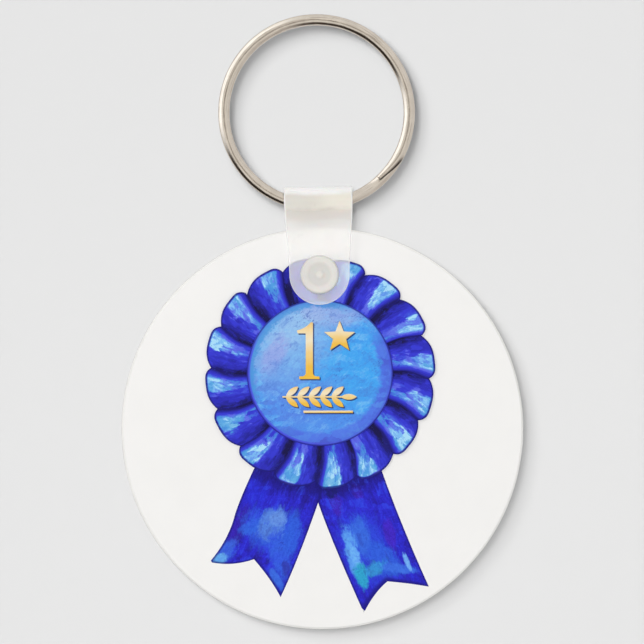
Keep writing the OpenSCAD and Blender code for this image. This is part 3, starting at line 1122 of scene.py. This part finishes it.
def stage(material):
    """A pale wall behind the object that sweeps forward into a floor below it."""
    low, high = cad_box
    wall_y, wall_top = high.y + 78 * MM, high.z + 330 * MM
    floor_z = low.z - 170 * MM
    curve_r, half, reach = 60 * MM, 240 * MM, 700 * MM
    profile = [(wall_y, wall_top), (wall_y, floor_z + curve_r)]
    profile += [(wall_y - curve_r * c, floor_z + curve_r * (1 - s)) for s, c in quarter(16)]
    profile.append((wall_y - reach, floor_z))
    mesh = bpy.data.meshes.new("sweep")
    mesh.from_pydata([(x, y, z) for x in (-half, half) for y, z in profile], [], grid_faces(2, len(profile)))
    mesh.materials.append(material)
    for polygon in mesh.polygons:
        polygon.use_smooth = True
    made = placed("sweep", mesh)
    made.visible_glossy = False
    return made


def sweep_paint():
    """Pale paper, clear from behind, that fades to the background's even grey far from the object."""
    g = Paint("sweep_paper", Base_Color=(190, 190, 190), Roughness=0.9, Specular_IOR_Level=0.1)
    x, _, z = g.split(g.place())
    beside = g.ease(g.math("ABSOLUTE", x), 130 * MM, 220 * MM)
    above = g.ease(z, 130 * MM, 250 * MM)
    below = g.ease(z, -130 * MM, -200 * MM)
    far = g.most(g.most(above, below), beside)
    seen = g.node("LightPath").outputs["Is Camera Ray"]
    grey = g.first("Emission", {"Color": BACKGROUND})
    paper = g.blend(g.mul(far, seen), g.shader.outputs[0], grey)
    clear = g.first("BsdfTransparent")
    behind = g.node("NewGeometry").outputs["Backfacing"]
    g.put(g.blend(behind, paper, clear), g.tree.nodes["Material Output"].inputs["Surface"])
    return g.material


def world():
    """Even grey to the camera, even light, and for gloss a pale room with one bright and one dark side."""
    made = bpy.data.worlds.new("studio")
    bpy.context.scene.world = made
    g = Graph(made)
    g.tree.nodes.clear()
    x, y, z = g.split(g.node("TexCoord").outputs["Generated"])
    clock_turn = g.math("DIVIDE", g.math("ARCTAN2", x, z), 2 * pi)
    clock_turn = g.math("FRACT", g.add(clock_turn, 1))
    pale = (0.8, 0.78, 0.76, 1)
    around = g.ramp(
        clock_turn,
        (0, pale), (0.12, (0.84, 0.82, 0.8, 1)), (0.28, (0.78, 0.76, 0.74, 1)),
        (0.38, (0.64, 0.61, 0.58, 1)), (0.45, (0.58, 0.55, 0.52, 1)), (0.48, (0.09, 0.07, 0.06, 1)),
        (0.6, (0.03, 0.025, 0.02, 1)), (0.68, (0.04, 0.03, 0.025, 1)), (0.71, 0.9),
        (0.75, (1.6, 1.6, 1.62, 1)), (0.92, 1.5), (0.97, (0.95, 0.94, 0.92, 1)), (1, pale),
    )
    front = g.mul(y, -1)
    room = g.mix(g.ease(front, 0.1, -0.12), around, (0.74, 0.72, 0.7, 1))
    room = g.mix(g.ease(front, 0.84, 0.92), room, (0.87, 0.84, 0.8, 1))
    room = g.mix(g.ease(front, 0.99, 0.998), room, (0.32, 0.29, 0.26, 1))
    gloss = g.first("Background", {"Color": room})
    fill = g.first("Background", {"Color": (1, 1, 1, 1), "Strength": FILL_LIGHT})
    plain = g.first("Background", {"Color": BACKGROUND})
    path = g.node("LightPath").outputs
    light = g.blend(path["Is Glossy Ray"], fill, gloss)
    g.node("OutputWorld", {"Surface": g.blend(path["Is Camera Ray"], light, plain)})


def view_target():
    """The point at the middle of the picture, in the plane of the fob."""
    low, high = cad_box
    return Vector((FOB.x + VIEW_RIGHT, 0, (low.z + high.z) / 2 + VIEW_UP))


def area_light(name, shape, size, watts, place, target, only):
    """An area light, aimed at a target, that lights only one collection and isn't mirrored."""
    light = bpy.data.lights.new(name, "AREA")
    light.shape = shape
    light.size, light.size_y = size
    light.energy = watts
    made = placed(name, light)
    made.location = place
    made.rotation_mode = "QUATERNION"
    made.rotation_quaternion = (target - place).to_track_quat("-Z", "Y")
    made.visible_glossy = False
    made.light_linking.receiver_collection = only
    return made


def softbox(name, offset, size, watts, tint, only):
    """A soft light at an offset, in metres, from the object's middle."""
    centre = (cad_box[0] + cad_box[1]) / 2
    made = area_light(name, "RECTANGLE", size, watts, centre + Vector(offset), centre, only)
    made.data.color = tint


def lamp(name, watts, offset, size, only, blockers=None, turn=0):
    """A soft oval lamp beside the camera, moved by offset (right, up) in mm; shadows fall the other way."""
    right, up = offset
    place = view_target() + Vector((right * MM, -CAMERA_FAR, up * MM))
    made = area_light(name, "ELLIPSE", [width * MM for width in size], watts, place, view_target(), only)
    made.rotation_quaternion @= Quaternion((0, 0, 1), radians(turn))
    if blockers:
        made.light_linking.blocker_collection = blockers


def collected(name, pieces):
    """A collection of pieces, for a light to fall on or be blocked by."""
    group = bpy.data.collections.new(name)
    for piece in pieces:
        group.objects.link(piece)
    return group


def lights(sweep):
    """Softboxes for the object, a front lamp for its own shadows, and lamps for its shadows on the wall."""
    pieces = [o for o in bpy.data.objects if o.type == "MESH" and o != sweep]
    only = collected("lit_object", pieces)
    softbox("key_upper_left", (-0.34, -0.42, 0.3), (0.22, 0.3), 0.85, (1, 0.985, 0.965), only)
    softbox("fill_right", (0.5, -0.45, 0.05), (0.25, 0.4), 0.35, (0.97, 0.98, 1), only)
    softbox("back_left", (-0.42, 0.4, 0.3), (0.25, 0.3), 3, (1, 1, 1), only)
    softbox("back_right", (0.42, 0.4, 0.1), (0.25, 0.3), 1.8, (1, 1, 1), only)
    wall = collected("lit_wall", [sweep])
    opaque = collected("opaque", [o for o in pieces if not o.name.startswith("strap")])
    ring = collected("ring_only", [o for o in pieces if o.name.startswith("split_ring")])
    lamp("front_lamp", 8, (-25, 27), (38, 38), only, opaque)
    lamp("wall_tight", 6.4, (-9.3, 7.3), (19, 13), wall, turn=-40)
    lamp("wall_wide", 7.6, (-21, 17), (62, 22), wall, turn=-40)
    lamp("wall_ring_wide", 3.9, (-16, 27), (44, 50), wall, ring)
    lamp("wall_ring_tight", 4.4, (-11, 18), (14, 14), wall, ring)


def camera():
    """A long lens straight in front, rolled so that the picture on the fob stands upright."""
    data = bpy.data.cameras.new("camera")
    data.lens, data.sensor_width = LENS, SENSOR
    data.clip_start, data.clip_end = 0.05, 10
    made = placed("camera", data)
    made.location = view_target() - Vector((0, CAMERA_FAR, 0))
    made.rotation_euler = (pi / 2, PICTURE_TURN, 0)
    bpy.context.scene.camera = made


# ---- assembly

soft_strap = milky_plastic(
    "milky_strap", srgb(244, 243, 241), opacity=0.36, seed=0.3, scatter=0.12, gloss=0.4, fold_z=FOLD.z
)
soft_snap = milky_plastic(
    "milky_snap", srgb(236, 233, 228), opacity=0.92, seed=1.1, scatter=0.2, gloss=0.2, dish=DISH_R
)
face = white_face()

belongs(split_ring(nickel()), "ring", "nickel", "split_ring")
belongs(strap(soft_strap), "strap_body", "strap_plastic", "strap")
belongs(snap_socket(soft_snap), "strap_body", "snap_plastic", "snap_socket")
belongs(snap_stud(soft_snap), "snap", "snap_plastic", "snap_stud")
belongs(round_layer("fob_core", "disc_core", 0.16 * MM, white_core()), "fob", "core_white", "disc_core")
for name, node in (("fob_front", "front_sheet"), ("fob_back", "back_sheet")):
    belongs(round_layer(name, node, 0.1 * MM, face), "fob", "face_white", node)
belongs(backing_card(backing_paint()), "fob", "backing_blue", "rosette_backing")

satin = pleat_paint()
for index, node in enumerate(PLEATS):
    belongs(pleat(index, node, satin, random.Random(100 + index)), "fob", "pleat_blue", node)

belongs(centre_button(button_paint()), "fob", "button_blue", "centre_button")

left_paint = tail_paint("painted_tail_left", 3, 67, [
    (-9.3, -9, 2.6, 1.5, 75, (44, 48, 212), 0.7),
    (-12.2, -14.5, 3.6, 0.9, 65, (56, 32, 160), 0.7),
    (-7.3, -14.6, 3.9, 2.7, -25, (50, 88, 218), 0.95),
    (-6.1, -18.2, 3, 1.4, -75, (54, 96, 222), 0.85),
    (-4.3, -14.8, 3, 1.2, 82, (50, 96, 220), 0.85),
    (-10, -13.9, 1.6, 0.9, 35, (52, 102, 222), 0.8),
    (-7.1, -13.5, 2.4, 1.7, 60, (84, 130, 220), 0.95),
    (-6.4, -12.9, 1.2, 1, 0, (102, 146, 226), 0.8),
    (-13.8, -17.6, 2.2, 1.1, 50, (60, 104, 222), 0.8),
    (-14.6, -18.5, 1, 0.7, 20, (100, 168, 236), 1),
    (-6.6, -21.4, 1.9, 0.6, -58, (60, 110, 224), 0.85),
    (-5.2, -19.8, 1.2, 0.5, -80, (48, 38, 148), 0.6),
])
right_paint = tail_paint("painted_tail_right", 8, -69, [
    (1.9, -10.7, 1.8, 0.9, -70, (66, 36, 176), 0.7),
    (4.9, -8.9, 1.4, 0.7, -72, (70, 40, 184), 0.6),
    (6, -17, 5, 3, -70, (48, 72, 218), 0.9),
    (9.6, -14.9, 2, 0.8, -75, (70, 40, 194), 0.75),
    (5.3, -15.4, 2.8, 1.3, -75, (58, 108, 222), 0.9),
    (8.8, -18.6, 3, 1.5, -45, (50, 98, 220), 0.8),
    (4.3, -17.7, 3.5, 0.9, -75, (90, 156, 240), 1),
    (4.6, -18, 1.7, 0.6, -75, (108, 176, 246), 0.9),
    (5.6, -21, 1.8, 0.9, -72, (48, 164, 204), 0.95),
    (7.6, -19.9, 1.6, 0.8, 38, (56, 150, 212), 0.9),
    (11, -19.9, 2.8, 0.6, -8, (62, 112, 226), 0.9),
    (12.1, -19.1, 1.4, 0.32, -66, (114, 174, 244), 0.95),
    (1, -7.6, 2.4, 1.1, -78, (24, 36, 104), 1),
])
left_tail = tail(
    "tail_left", left_paint,
    [(-8.9, -4.1), (-11.2, -8.6), (-12.4, -12.1), (-13.3, -15.8), (-16.05, -19)],
    [(0, -7.1), (-0.15, -9), (-0.6, -10.55), (-3.5, -18.9), (-5.95, -24)],
    [(-16.05, -19), (-12.8, -19.7), (-9.75, -18.6), (-7.3, -21.4), (-5.95, -24)],
)
right_tail = tail(
    "tail_right", right_paint,
    [(-0.06, -7.1), (-0.21, -9), (-0.62, -10.5), (1.1, -15.6), (5.9, -26.25)],
    [(7.8, -4.2), (11, -13.4), (15.15, -22.5)],
    [(5.9, -26.25), (7.3, -23.4), (9.25, -21.75), (12.3, -22), (15.15, -22.5)],
)
belongs(left_tail, "fob", "tail_blue", "tail_left")
belongs(right_tail, "fob", "tail_blue", "tail_right")

gold = gold_paint()
shadow = gold_shadow()
for node in ("numeral_one", "star", "laurel_sprig", "underline_bar"):
    belongs(from_node(node + "_gold", node, gold, 0.07 * MM), "fob", "gold", node)
    belongs(print_shadow(node, shadow), "fob", "button_blue")

sweep = stage(sweep_paint())
world()
lights(sweep)
camera()
bpy.context.scene.view_settings.view_transform = "Standard"
